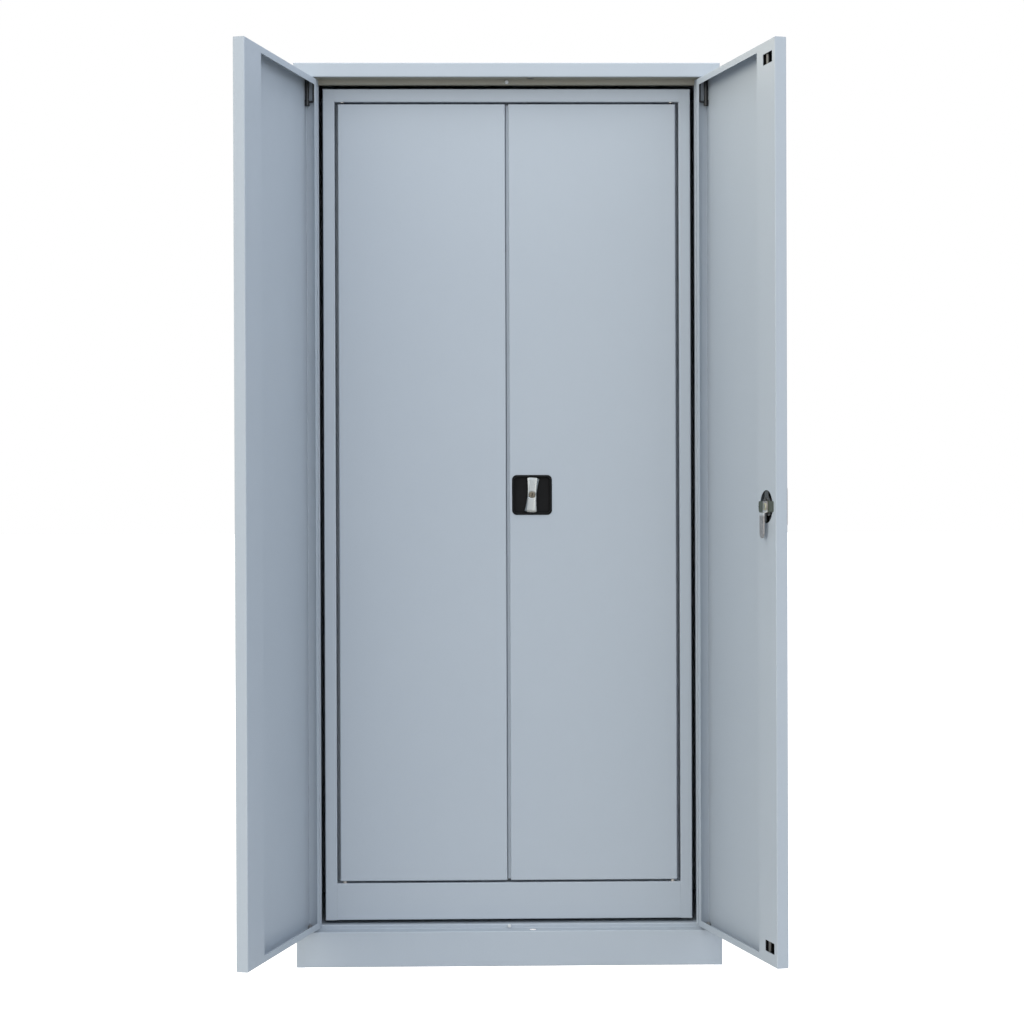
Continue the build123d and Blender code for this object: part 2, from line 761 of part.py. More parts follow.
def lock_rod(reach, neck):
    """Upper rod: a slotted plate driven by the crank, and a round bar up to its nose."""
    shoulder = neck - rod_shoulder_drop
    plate = slab([
        (-rod_leg_outer, -crank_arm / sqrt(2) - rod_leg_foot),
        (-rod_leg_inner, -crank_arm / sqrt(2) - rod_leg_foot),
        (-rod_leg_inner, neck),
        (rod_plate_far, neck),
        (rod_plate_far, rod_plate_end),
        (-rod_plate_near, rod_plate_end),
        (-rod_plate_near, shoulder + rod_leg_outer - rod_plate_near),
        (-rod_leg_outer, shoulder),
    ], rod_plate_front, rod_plate_back)
    pin = crank_pin / 2 + slot_clearance
    low = -crank_arm / sqrt(2)
    plate -= block((-crank_arm - pin, rod_plate_front - 1, low - pin),
                   (low + pin, rod_plate_back + 1, low + pin))
    bar = rod_along_z(rod_diameter / 2, rod_start, reach, 0, rod_setback)
    bar = chamfer(bar.edges().sort_by(Axis.Z)[-1], rod_nose)
    return plate + bar


def rod_guide(height):
    """Plastic guide in the top end of the box stile, with a pocket behind the window."""
    top = height - door_sheet
    low = top - guide_height
    guide = block((guide_low_x, door_edge_radius, low),
                  (guide_low_x + guide_width, door_thickness - door_sheet, top))
    pocket_top = height - window_inset
    guide -= block((guide_window[0], guide_pocket_front, pocket_top - window_height),
                   (guide_window[1], door_thickness, pocket_top))
    bore = rod_diameter / 2 + rod_guide_gap
    return guide - rod_along_z(bore, low - 1, top + 1, backset, rod_setback)


# ---------------------------------------------------------------------- assemblies
def turned(shape, angle, x, y):
    """The shape turned about an upright axis."""
    return Pos(x, y, 0) * Rot(0, 0, angle) * Pos(-x, -y, 0) * shape


def door_set(name, free_x, face_y, foot_z, width, height, gap, pivot, rest, spindle_z, turn,
             strip):
    """Both leaves of one carcass with their hinges, and the lock of the right one."""
    pivot_x, pivot_y = pivot

    def place(shape):
        return turned(Pos(free_x, face_y, foot_z) * shape, rest, pivot_x, pivot_y)

    def on_spindle(shape, angle=0.0):
        return place(Pos(backset, 0, spindle_z - foot_z) * Rot(0, angle, 0) * shape)

    lock_z = spindle_z - foot_z
    plain = leaf(width, height)
    locked = plain - lock_cuts(height, lock_z)
    if strip:
        locked += seam_strip(height, strip)
    save(f"{name}_left_leaf", mirror(place(plain), about=Plane.YZ))
    save(f"{name}_right_leaf", place(locked))
    for part, shape in (
        ("hinge_pin", hinge_staple(width, height, gap)),
        ("lower_bush", leaf_bush(width)),
    ):
        right, left = both_sides(place(shape))
        save(f"{name}_right_{part}", right)
        save(f"{name}_left_{part}", left)

    save(f"{name}_handle_plate", on_spindle(handle_plate()))
    save(f"{name}_lock_case", on_spindle(lock_case()))
    save(f"{name}_lock_screws", *[on_spindle(screw) for screw in case_screws()])
    save(f"{name}_handle_knob", on_spindle(knob(), turn))
    save(f"{name}_key_plug", on_spindle(key_plug(), turn))
    save(f"{name}_spindle", on_spindle(spindle(), turn))
    save(f"{name}_rod_strap", on_spindle(rod_strap()))
    save(f"{name}_latch_cam", on_spindle(latch_cam(), turn))
    save(f"{name}_cam_nut", on_spindle(cam_nut(), turn))

    shift = rod_ratio * turn
    up = lock_rod(height - lock_z + rod_proud, upper_rod_neck)
    down = Rot(0, 180, 0) * lock_rod(lock_z + rod_proud, lower_rod_neck)
    save(f"{name}_upper_rod", Pos(0, 0, shift) * on_spindle(up))
    save(f"{name}_lower_rod", Pos(0, 0, -shift) * on_spindle(down))
    guide = rod_guide(height)
    low_guide = mirror(guide, about=Plane.XY.offset(height / 2))
    save(f"{name}_rod_guides", place(guide), place(low_guide))


def build():
    """Write every node of the cabinet."""
    stop_y = front_y + rebate_depth
    inner_stop_y = inner_front_y + rebate_depth
    pads, bolts, bolt_holes = pads_and_bolts()

    strike_x = outer_free_x + backset
    strike_y = front_y + rod_setback
    outer_holes = [
        *both_sides(pivot_hole(outer_pivot_x, outer_pivot_y, opening_top)),
        rod_along_z(outer_strike / 2, opening_top - sheet, opening_top + 2 * sheet,
                    strike_x, strike_y),
    ]
    ledge_holes = [
        *both_sides(rod_along_z(pivot_diameter / 2, opening_bottom - 2 * sheet,
                                opening_bottom + sheet, outer_pivot_x, outer_pivot_y)),
        rod_along_z(outer_strike / 2, opening_bottom - 2 * sheet, opening_bottom + sheet,
                    strike_x, strike_y),
    ]
    side = side_panel(half_width, front_y, back_y, 0, cabinet_height, opening_bottom,
                      opening_top, outer_stile, outer_lip)
    right, left = both_sides(side)
    save("outer_right_side", right)
    save("outer_left_side", left)
    save("outer_top", top_panel(half_width, front_y, back_y, cabinet_height, opening_top,
                                outer_stile, outer_lip) - outer_holes)
    save("outer_bottom", bottom_panel(half_width, front_y, back_y, 0, opening_bottom,
                                      outer_stile, outer_lip) - ledge_holes - bolt_holes)
    save("outer_back", back_panel(half_width, back_y, 0, cabinet_height))
    save("base_brackets", *base_brackets())

    inner_strike_x = inner_free_x + backset
    inner_strike_y = inner_front_y + rod_setback
    inner_top_holes = [
        *both_sides(pivot_hole(inner_pivot_x, inner_pivot_y, inner_opening_top)),
        rod_along_z(inner_strike / 2, inner_opening_top - sheet, inner_opening_top + 2 * sheet,
                    inner_strike_x, inner_strike_y),
    ]
    inner_ledge_holes = [
        *both_sides(rod_along_z(pivot_diameter / 2, inner_opening_bottom - 2 * sheet,
                                inner_opening_bottom + sheet, inner_pivot_x, inner_pivot_y)),
        rod_along_z(inner_strike / 2, inner_opening_bottom - 2 * sheet,
                    inner_opening_bottom + sheet, inner_strike_x, inner_strike_y),
    ]
    inner_side = side_panel(inner_half, inner_front_y, inner_back_y, inner_base, inner_top,
                            inner_opening_bottom, inner_opening_top, inner_stile, inner_lip)
    right, left = both_sides(inner_side - bolt_holes)
    save("inner_right_side", right)
    save("inner_left_side", left)
    save("inner_top", top_panel(inner_half, inner_front_y, inner_back_y, inner_top,
                                inner_opening_top, inner_stile, inner_lip) - inner_top_holes)
    save("inner_bottom", bottom_panel(inner_half, inner_front_y, inner_back_y, inner_base,
                                      inner_opening_bottom, inner_stile,
                                      inner_lip) - inner_ledge_holes)
    save("inner_back", back_panel(inner_half, inner_back_y, inner_base, inner_top))

    save("spacer_pads", *pads)
    save("fixing_bolts", *bolts)
    save("top_bushes",
         *both_sides(top_bush(outer_pivot_x, outer_pivot_y, opening_top)),
         *both_sides(top_bush(inner_pivot_x, inner_pivot_y, inner_opening_top)))
    save("bottom_pivots",
         *both_sides(bottom_pivot(outer_pivot_x, outer_pivot_y, opening_bottom, outer_foot_gap)),
         *both_sides(bottom_pivot(inner_pivot_x, inner_pivot_y, inner_opening_bottom,
                                  inner_end_gap)))
    save("door_buffers",
         wing_buffer(stop_y, opening_top - top_stop / 2),
         wing_buffer(stop_y, opening_bottom + bottom_stop / 2),
         wing_buffer(inner_stop_y, inner_opening_top - top_stop / 2),
         wing_buffer(inner_stop_y, inner_opening_bottom + bottom_stop / 2))

    rails = []
    clips = []
    for y in rail_rows:
        rails += both_sides(shelf_rail(y))
        for index in shelf_slots:
            clips += both_sides(shelf_clip(y, index))
    save("shelf_rails", *rails)
    save("shelf_clips", *clips)
    for number, index in enumerate(shelf_slots, start=1):
        save(f"shelf_{number}", shelf(index))

    door_set("outer", outer_free_x, front_y, outer_leaf_bottom, outer_leaf_width,
             outer_leaf_height, outer_end_gap, (outer_pivot_x, outer_pivot_y),
             outer_rest_angle, outer_lock_height, 0.0, None)
    door_set("inner", inner_free_x, inner_front_y, inner_leaf_bottom, inner_leaf_width,
             inner_leaf_height, inner_end_gap, (inner_pivot_x, inner_pivot_y), 0.0,
             inner_lock_height, inner_handle_rest, seam_step)


build()
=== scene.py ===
# %% [markdown]
# # A steel tool cabinet with two pairs of doors
# The packed model already has every panel, hinge and lock piece at its real size and place. This
# lesson dresses it: powder coat, cast and drawn metals, moulded plastic, and the few small forms
# that are easier to shape here as surfaces than as solids. Lengths are metres, with X to the
# right, Y to the back and Z up.

# %% Start from the packed frame
import json

import bpy
import numpy as np
from mathutils import Matrix, Vector


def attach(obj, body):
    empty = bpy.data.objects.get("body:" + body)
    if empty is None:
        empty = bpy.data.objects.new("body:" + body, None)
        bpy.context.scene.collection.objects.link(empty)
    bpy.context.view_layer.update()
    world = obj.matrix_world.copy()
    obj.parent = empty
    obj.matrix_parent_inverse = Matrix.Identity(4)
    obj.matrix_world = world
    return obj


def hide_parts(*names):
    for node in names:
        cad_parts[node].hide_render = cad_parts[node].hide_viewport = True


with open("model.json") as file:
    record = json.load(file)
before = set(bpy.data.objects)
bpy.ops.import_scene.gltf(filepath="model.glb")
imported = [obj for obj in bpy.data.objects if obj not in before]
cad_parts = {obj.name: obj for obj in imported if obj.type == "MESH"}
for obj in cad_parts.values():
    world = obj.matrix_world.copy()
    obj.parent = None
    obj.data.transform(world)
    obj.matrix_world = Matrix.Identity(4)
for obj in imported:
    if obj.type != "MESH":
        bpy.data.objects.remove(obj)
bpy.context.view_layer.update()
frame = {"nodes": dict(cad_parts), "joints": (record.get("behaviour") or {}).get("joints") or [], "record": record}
MM = 0.001
joints = {joint["name"]: joint for joint in frame["joints"]}
locks = ("outer", "inner")

# %% [markdown]
# ## A short way to write shader maths
# A finish could be wired node by node, but an expression such as `0.4 + 0.1 * grain` is easier
# to read and to change. `Signal` wraps one socket and turns each operator into a Math node, with
# the reflected forms too, so that `1 - mask` works.

# %% Signals
class Signal:
    """One shader socket that Python can calculate with."""

    def __init__(self, recipe, socket):
        self.recipe = recipe
        self.socket = socket

    def math(self, operation, *values):
        """A Math node on these values."""
        return self.recipe.add("ShaderNodeMath", {"operation": operation}, *values)

    def __add__(self, other):
        return self.math("ADD", self, other)

    def __sub__(self, other):
        return self.math("SUBTRACT", self, other)

    def __rsub__(self, other):
        return self.math("SUBTRACT", other, self)

    def __mul__(self, other):
        return self.math("MULTIPLY", self, other)

    __radd__ = __add__
    __rmul__ = __mul__

    def at_least(self, low):
        """This value, or low where it is smaller."""
        return self.math("MAXIMUM", self, low)

    def step(self, low, high):
        """0 below low, 1 above high and a smooth rise between."""
        return self.recipe.add(
            "ShaderNodeMapRange", {"interpolation_type": "SMOOTHSTEP"}, self, low, high
        )


print("a signal knows", ", ".join(name for name in vars(Signal) if name[:2] != "__"))

# %% [markdown]
# ## Recipes
# A recipe is a node tree, of the world or of a material. Its `add` method makes any node from
# its type, its settings and the values or links of its sockets, and the other methods are the
# few patterns that every finish here is mixed from. Colours are mixed by a Mix node, because a
# Math node would turn them grey.

# %% Recipes
class Recipe:
    """A node tree that is written as expressions."""

    def __init__(self, owner):
        owner.use_nodes = True
        self.tree = owner.node_tree

    def feed(self, socket, value):
        """Link a signal to a socket, or set the socket's own value."""
        if isinstance(value, Signal):
            self.tree.links.new(value.socket, socket)
        elif socket.type == "RGBA":
            socket.default_value = (*value, 1.0)
        else:
            socket.default_value = value

    def add(self, kind, settings, *values, output=0, **named):
        """Any node, fed by the place or the name of its sockets."""
        node = self.tree.nodes.new(kind)
        for key, setting in settings.items():
            setattr(node, key, setting)
        for place, value in [*enumerate(values), *named.items()]:
            self.feed(node.inputs[place], value)
        return Signal(self, node.outputs[output])

    def place(self, stretch=(1, 1, 1)):
        """Object coordinates in metres, stretched where a grain runs one way."""
        where = self.add("ShaderNodeTexCoord", {}, output="Object")
        return self.add("ShaderNodeMapping", {}, where, Scale=stretch)

    def along(self, where, axis):
        """How far a place lies along an axis."""
        return self.add("ShaderNodeVectorMath", {"operation": "DOT_PRODUCT"}, where, axis,
                        output="Value")

    def noise(self, where, size, detail=2.0):
        """Soft noise from 0 to 1 whose blobs are about size metres across."""
        return self.add("ShaderNodeTexNoise", {}, Vector=where, Scale=1 / size, Detail=detail)

    def cells(self, where, size, output="Distance"):
        """Voronoi cells about size metres across."""
        return self.add("ShaderNodeTexVoronoi", {}, Vector=where, Scale=1 / size, output=output)

    def blend(self, share, first, second):
        """Colour mix: first at 0, second at 1."""
        node = self.tree.nodes.new("ShaderNodeMix")
        node.data_type = "RGBA"
        colour_a, colour_b, mixed_colour = node.inputs[6], node.inputs[7], node.outputs[2]
        self.feed(node.inputs["Factor"], share)
        self.feed(colour_a, first)
        self.feed(colour_b, second)
        return Signal(self, mixed_colour)

    def bump(self, height, depth, **below):
        """Relief: height runs from 0 to 1 and depth is its size in metres."""
        return self.add("ShaderNodeBump", {}, Height=height, Distance=depth, **below)


print("a recipe knows", ", ".join(name for name in vars(Recipe) if name[:2] != "__"))

# %% [markdown]
# ## Finishes
# A finish is a recipe that ends in a material. Every one here is built round a Principled
# shader, because that one shader covers paint, metal and plastic, and it exports well. What is
# the same all over a piece is a plain number on the shader's own socket.

# %% Finishes
class Finish(Recipe):
    """One procedural material."""

    def __init__(self, name):
        self.material = bpy.data.materials.new(name)
        super().__init__(self.material)
        self.shader = self.tree.nodes["Principled BSDF"]

    def finish(self, **sockets):
        """Feed the shader's sockets, with _ for each space in a name, and give the material."""
        for name, value in sockets.items():
            self.feed(self.shader.inputs[name.replace("_", " ")], value)
        return self.material


finishes = {}
print("a finish adds", ", ".join(name for name in vars(Finish) if name[:2] != "__"))

# %% [markdown]
# ## Powder coat
# The panels are folded from cold-rolled sheet and sprayed with a semi-gloss polyester powder in
# a light blue-grey. Baked powder has a fine orange peel about two millimetres across, a faint
# cloudiness where the film is thicker, and tiny pinholes. The skins of wide doors also wave by
# a fraction of a millimetre, which only reflections show, so that wave is bump too. One flat
# colour would look like plastic, and an image would repeat over two metres of door, so noise of
# four sizes drives the colour, the roughness and the relief.

# %% Paint
paint_light, paint_deep = (0.415, 0.465, 0.520), (0.385, 0.435, 0.492)
pinhole_shade = (0.35, 0.39, 0.44)
cloud_size, film_size, wave_size = 0.35, 0.05, 0.22
peel_size, peel_depth, pinhole_size, wave_depth = 2.2 * MM, 0.06 * MM, 6 * MM, 0.6 * MM


def coated(coat, here, light, deep):
    """Mix the coat from its light and deep tones, each one colour or a signal."""
    cloud = coat.noise(here, cloud_size, detail=3.0)
    film = coat.noise(here, film_size)
    peel = coat.noise(here, peel_size)
    pinholes = coat.cells(here, pinhole_size).step(0.05, 0.12)
    wave = coat.noise(here, wave_size, detail=1.0)
    tone = coat.blend(cloud * 0.7 + film * 0.3, deep, light)
    return coat.finish(
        Base_Color=coat.blend(pinholes, pinhole_shade, tone),
        Roughness=0.36 + 0.08 * film + 0.05 * peel,
        Normal=coat.bump(peel, peel_depth, Normal=coat.bump(wave, wave_depth)),
    )


coat = Finish("grey_powder_coat")
finishes["grey_paint"] = coated(coat, coat.place(), paint_light, paint_deep)
print("powder coat:", len(coat.tree.nodes), "nodes")

# %% [markdown]
# ## The roof's coat and its painted shade
# The deep rebate under the roof's front lies in shade, and that shade is painted into the coat there as a darker,
# warm grey. The roof is one folded sheet, so the mask of the painted shade comes from where a point lies: behind
# the front plane, and not above the foot of the fascia.

# %% Roof paint with painted shade
# painted shade: the warm dark grey that colours the rebate under the roof
rebate_shade_tone = (0.270, 0.262, 0.222)
front_plane, fascia_foot = -210 * MM, 1919 * MM
roof = Finish("roof_coat_with_painted_shade")
here = roof.place()
behind = roof.along(here, (0, 1, 0)).step(front_plane + 1.5 * MM, front_plane + 4.0 * MM)
above = roof.along(here, (0, 0, 1)).step(fascia_foot + 0.5 * MM, fascia_foot + 1.5 * MM)
# where the painted shade lies: behind the front plane and below the foot of the fascia
rebate_shade_mask = behind * (1.0 - above)
finishes["roof_paint"] = coated(roof, here, roof.blend(rebate_shade_mask, paint_light, rebate_shade_tone),
                                roof.blend(rebate_shade_mask, paint_deep, rebate_shade_tone))
# prints how far down the painted shade in the rebate begins
print("thin coat from", round(fascia_foot / MM), "mm down")

# %% [markdown]
# ## Bare metals
# The knobs are die-cast zinc under a satin chrome skin. The rods and the hinge staples are drawn
# steel with a dark oil film, so their grain runs along Z. The strap over the lock is passivated
# to a dull olive, and the nuts to a pale yellow. All are one recipe: stains blend two tones and
# roughen the surface, and a fine grain breaks the gloss. Stretched noise gives that grain at any
# zoom, where a picture of brushed metal would need a map of its own for each piece.

# %% Metals
fine_size = 0.9 * MM


def metal(name, dark, pale, size, roughness, grain=None, grain_depth=0.03 * MM):
    """Bare metal whose stains are size metres across; grain stretches the noise per metre."""
    stock = Finish(name)
    here = stock.place()
    stain = stock.noise(here, size, detail=4.0)
    if grain:
        fine = stock.noise(stock.place(grain), 1.0, detail=3.0)
    else:
        fine = stock.noise(here, fine_size)
    return stock.finish(
        Base_Color=stock.blend(stain, dark, pale), Metallic=1.0,
        Roughness=roughness + 0.16 * stain + 0.05 * fine,
        Normal=stock.bump(fine, grain_depth),
    )


finishes.update(
    chrome=metal("satin_chrome", (0.37, 0.39, 0.39), (0.47, 0.49, 0.485),
                 size=12 * MM, roughness=0.18, grain=(2600.0, 2600.0, 60.0),
                 grain_depth=0.01 * MM),
    dark_steel=metal("oiled_wire", (0.030, 0.031, 0.033), (0.085, 0.085, 0.086),
                     size=10 * MM, roughness=0.34, grain=(2400.0, 2400.0, 40.0),
                     grain_depth=0.05 * MM),
    rod_steel=metal("drawn_rod", (0.10, 0.10, 0.10), (0.21, 0.21, 0.205),
                    size=20 * MM, roughness=0.36, grain=(2400.0, 2400.0, 30.0),
                    grain_depth=0.04 * MM),
    passivated_steel=metal("passivated_strap", (0.10, 0.12, 0.095), (0.22, 0.235, 0.185),
                           size=12 * MM, roughness=0.34),
    yellow_zinc=metal("yellow_zinc", (0.46, 0.45, 0.31), (0.76, 0.75, 0.57),
                      size=3 * MM, roughness=0.30),
)
print(len(finishes), "finishes so far")

# %% [markdown]
# ## Zinc plate
# Screws, bolts, bushes, pivots, shelf clips and spindles carry a bright zinc layer that has gone
# patchy. Its crystals differ a little in tone, which Voronoi cells give as flat patches, and
# plain noise could not.

# %% Zinc plate
plate_depth = 0.04 * MM
plate = Finish("zinc_plate")
here = plate.place()
spangle = plate.add("ShaderNodeRGBToBW", {}, plate.cells(here, 4 * MM, output="Color"))
stain = plate.noise(here, 18 * MM, detail=4.0)
tone = plate.blend(stain, (0.36, 0.335, 0.31), (0.60, 0.575, 0.55))
finishes["zinc_steel"] = plate.finish(
    Base_Color=plate.blend(spangle * 0.4, tone, (0.50, 0.49, 0.46)), Metallic=1.0,
    Roughness=0.30 + 0.20 * stain, Normal=plate.bump(plate.noise(here, fine_size), plate_depth),
)
print("zinc plate:", len(plate.tree.nodes), "nodes")

# %% [markdown]
# ## Cam steel
# The cam's strip is zinc plate too, stained in brownish bands, with a painted highlight just under its bend, where
# the bend catches the light. With a the height over the highlight divided by its half length, the highlight's
# share is 1 - a^2, and 0 beyond. Paint on a vertex group could do it, but a formula stays sharp.

# %% Cam steel with a painted highlight
# the painted highlight under the cam's bend: how far below the spindle it lies, and its half length
bend_drop, bend_highlight_half = 13 * MM, 7 * MM
bend_highlight_height = joints["outer_handle_turn"]["pos_m"][2] - bend_drop
strip = Finish("cam_steel")
here = strip.place()
stain = strip.noise(strip.place((90.0, 90.0, 220.0)), 1.0, detail=3.0)
away = (strip.along(here, (0, 0, 1)) - bend_highlight_height) * (1 / bend_highlight_half)
# painted highlight: 1 at the middle of the band under the bend, falling to 0 at its ends
bend_highlight = (1.0 - away * away).at_least(0.0)
tone = strip.blend(stain, (0.36, 0.330, 0.310), (0.68, 0.64, 0.61))
finishes["cam_steel"] = strip.finish(
    # the painted highlight turns the strip near white under its bend
    Base_Color=strip.blend(bend_highlight, tone, (0.88, 0.88, 0.87)), Metallic=1.0,
    Roughness=0.30 + 0.14 * stain, Normal=strip.bump(strip.noise(here, fine_size), plate_depth),
)
# prints the height of the painted highlight
print("rubbed place", round(bend_highlight_height, 3), "m up")

# %% [markdown]
# ## Plug brass
# The key plug is brass, dulled by hands and faced on a lathe. The plug's mesh says how far each of its points is
# sunk, and the finish uses that to paint shade into the keyway, down to black.

# %% Plug brass
brass = Finish("dull_brass")
stain = brass.noise(brass.place(), 4 * MM, detail=4.0)
turned_face = brass.noise(brass.place((1.0, 3000.0, 1.0)), 1.0, detail=3.0)
sunk = brass.add("ShaderNodeAttribute", {"attribute_name": "sunk"}, output="Fac")
tone = brass.blend(stain, (0.125, 0.11, 0.085), (0.26, 0.23, 0.18))
finishes["lock_brass"] = brass.finish(
    # painted shade: the keyway turns near black as it deepens
    Base_Color=brass.blend(sunk, tone, (0.012, 0.011, 0.010)), Metallic=1.0,
    Roughness=0.34 + 0.16 * stain, Normal=brass.bump(turned_face, 0.03 * MM),
)
print("plug brass:", len(brass.tree.nodes), "nodes")

# %% [markdown]
# ## Plastics and rubber
# The lock plates and cases and the rod guides are black glass-filled nylon. Its spark-eroded
# mould leaves a fine leathery grain, so grain drives both bump and roughness. The stop buffers
# are pale soft vinyl and the spacer pads are black rubber with dust in the pores. One recipe
# serves all three, because only its sizes and tones differ.

# %% Plastics and rubber
def grained(name, dark, pale, grain_size, roughness, depth, gloss=0.5):
    """Moulded plastic or rubber; gloss is the shader's specular level."""
    mould = Finish(name)
    here = mould.place()
    grain = mould.noise(here, grain_size)
    bloom = mould.noise(here, 30 * MM, detail=3.0)
    return mould.finish(
        Base_Color=mould.blend(0.6 * bloom + 0.4 * grain, dark, pale),
        Roughness=roughness + 0.18 * grain, Normal=mould.bump(grain, depth),
        Specular_IOR_Level=gloss,
    )


finishes.update(
    black_plastic=grained("black_nylon", (0.0035, 0.0036, 0.0040), (0.0085, 0.0090, 0.0095),
                          grain_size=1.2 * MM, roughness=0.34, depth=0.06 * MM, gloss=0.12),
    buffer_rubber=grained("pale_vinyl", (0.50, 0.52, 0.54), (0.66, 0.68, 0.69),
                          grain_size=1.5 * MM, roughness=0.45, depth=0.03 * MM),
    spacer_rubber=grained("black_rubber", (0.012, 0.012, 0.012), (0.035, 0.034, 0.033),
                          grain_size=1.8 * MM, roughness=0.62, depth=0.08 * MM, gloss=0.3),
)
print("finishes:", ", ".join(finishes))

# %% [markdown]
# ## Dressing the packed parts
# Each packed part names the slot of its material. The finish takes the slot's place on the mesh,
# which is otherwise left as it is, and the roof gets its own coat.

# %% Packed parts
slot_of = {part["node"]: part["material_slot"] for part in frame["record"]["subparts"]}
for node, obj in frame["nodes"].items():
    for place in obj.material_slots:
        # the roof's finish carries painted shade in its rebate
        place.material = finishes["roof_paint" if node == "outer_top" else slot_of[node]]
print(len(slot_of), "parts dressed")

# %% [markdown]
# ## Surfaces on a grid
# A new form is a function of two parameters. Subdivision modelling by hand could make the same
# forms, but a formula keeps them exact and lets one function serve both locks. The function
# returns an array of points, `rows` by `columns` by 3. `skin` joins neighbours into quads and
# closes the ends, and `settle` says what the new piece is, rides on and stands for.

# %% From points to a mesh
sharp_from = np.radians(34)


def skin(name, points, ring=False):
    """A quad mesh over a grid of points; ring closes each row and caps both ends."""
    rows, columns = points.shape[:2]
    index = np.arange(rows * columns).reshape(rows, columns)
    across = np.roll(index, -1, axis=1) if ring else index[:, 1:]
    here = index if ring else index[:, :-1]
    quads = np.stack([here[:-1], across[:-1], across[1:], here[1:]], axis=-1).reshape(-1, 4)
    faces = quads.tolist()
    if ring:
        faces += [index[0, ::-1].tolist(), index[-1].tolist()]
    mesh = bpy.data.meshes.new(name)
    mesh.from_pydata(points.reshape(-1, 3).tolist(), [], faces)
    mesh.update()
    mesh.shade_smooth()
    mesh.set_sharp_from_angle(angle=sharp_from)
    obj = bpy.data.objects.new(name, mesh)
    bpy.context.scene.collection.objects.link(obj)
    return obj


def settle(obj, slot, body, *nodes, finish=None):
    """Give a piece its finish, its body and the nodes that it stands for."""
    obj.data.materials.append(finishes[finish or slot])
    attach(obj, body)
    if nodes:
        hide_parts(*nodes)
    return obj


print("edges over", round(np.degrees(sharp_from)), "degrees stay sharp")

# %% [markdown]
# ## Measuring the packed parts
# A new surface has to fill exactly the room of the part that it stands for, so its sizes are
# measured on that part instead of typed again.

# %% Measures
def vertices(node):
    """A packed part's points in metres."""
    mesh = frame["nodes"][node].data
    points = np.empty(3 * len(mesh.vertices))
    mesh.vertices.foreach_get("co", points)
    return points.reshape(-1, 3)


def span(points):
    """The lowest and the highest corner of the box round some points."""
    return points.min(axis=0), points.max(axis=0)


def local_span(node, matrix):
    """A part's lowest and highest corners along the axes of a frame of its own."""
    return span((vertices(node) - matrix[:3, 3]) @ matrix[:3, :3])


def groups(node, axis, gap=4 * MM):
    """Split a part's points where they leave a gap along one axis."""
    points = vertices(node)
    points = points[np.argsort(points[:, axis])]
    breaks = np.flatnonzero(np.diff(points[:, axis]) > gap) + 1
    return np.split(points, breaks)


print("roof spans", *(np.round(corner / MM).tolist() for corner in span(vertices("outer_top"))))

# %% [markdown]
# ## A frame for each lock
# A lock has its own frame: its origin is where the spindle meets the door face, Y runs inwards
# along the spindle and Z is up. A knob that is shaped once in that frame serves both doors
# wherever they stand. A knob may rest a few degrees off upright, which its joint's range tells.

# %% Lock frames
def lock_frame(name):
    """Matrix from a lock's own frame to the row's, from the joint that the knob turns on."""
    turn = joints[name + "_handle_turn"]
    inward = np.array(turn["axis"], dtype=float)
    inward /= np.linalg.norm(inward)
    up = np.array([0.0, 0.0, 1.0])
    matrix = np.eye(4)
    matrix[:3, 0], matrix[:3, 1], matrix[:3, 2] = np.cross(inward, up), inward, up
    matrix[:3, 3] = turn["pos_m"]
    return matrix


def rest_turn(lock):
    """Degrees that a lock's knob stands clockwise of upright at rest."""
    return -joints[lock + "_handle_turn"]["range_deg"][0]


def moved(points, matrix):
    """Points taken from a frame of their own to the row's: turned, then shifted."""
    return points @ matrix[:3, :3].T + matrix[:3, 3]


def turned(points, degrees):
    """Turn points about Y, clockwise for someone who looks along Y."""
    c, s = np.cos(np.radians(degrees)), np.sin(np.radians(degrees))
    x, y, z = np.moveaxis(points, -1, 0)
    return np.stack([c * x + s * z, y, c * z - s * x], axis=-1)


print("knobs rest at", [round(rest_turn(lock), 1) for lock in locks], "degrees")

# %% [markdown]
# ## Round stock
# Buttons, plugs and screw heads are round, so they are profiles carried round the Y line, or
# height maps over the rings of a disc. `ease` is the smooth rise 3 v^2 - 2 v^3 that softens
# every step below, because a real edge is never a jump.

# %% Round shapes
def ease(value):
    """Smooth rise 3 v^2 - 2 v^3, flat below 0 and above 1."""
    value = np.clip(value, 0.0, 1.0)
    return value * value * (3.0 - 2.0 * value)


def lathe(profile, sides=40, at=(0.0, 0.0)):
    """Turn a profile of (radius, y) pairs about the line along Y through x, z = at."""
    angle = np.linspace(0, 2 * np.pi, sides, endpoint=False)
    radius, y = np.array(profile, dtype=float).T[:, :, None]
    return np.stack([at[0] + radius * np.sin(angle), y + 0 * angle,
                     at[1] + radius * np.cos(angle)], axis=-1)


def polar(radius, rings, sides):
    """Points of a disc: rings of growing radius, each with the same number of sides."""
    r = np.linspace(0.02, 1.0, rings)[:, None] * radius
    angle = np.linspace(0, 2 * np.pi, sides, endpoint=False)[None, :]
    return r * np.sin(angle), r * np.cos(angle)


def rounded_end(radius, front, back, bend, steps=5):
    """Profile of a round bar's end: from the axis at front, over a bend, along to back."""
    turn = np.linspace(0, np.pi / 2, steps)
    return [(1e-5, front)] + [
        (radius - bend * (1 - np.sin(a)), front + bend * (1 - np.cos(a))) for a in turn
    ] + [(radius, back)]


print("halfway, the smooth rise is at", ease(0.5))

# %% [markdown]
# ## Turn knobs
# A knob is a bow-tie casting. It could be a block with bevels, but its flanks change slope along
# their length, so its front is a height map over its outline. The rim lies on
# w(v) = waist + (end - waist) |v|^1.5 either side of the middle and on a circle at both ends,
# where v runs from -1 at the foot to 1 at the head. Down the front runs a strip of constant half
# width h, hollowed by D (1 - (x/h)^4). Outside the strip the front slopes away, steeply on the
# two flanks that fingers push to turn the knob clockwise, and both ends are chamfered. A shallow
# round seat is sunk about the key plug, and a bore under it keeps the keyway clear.

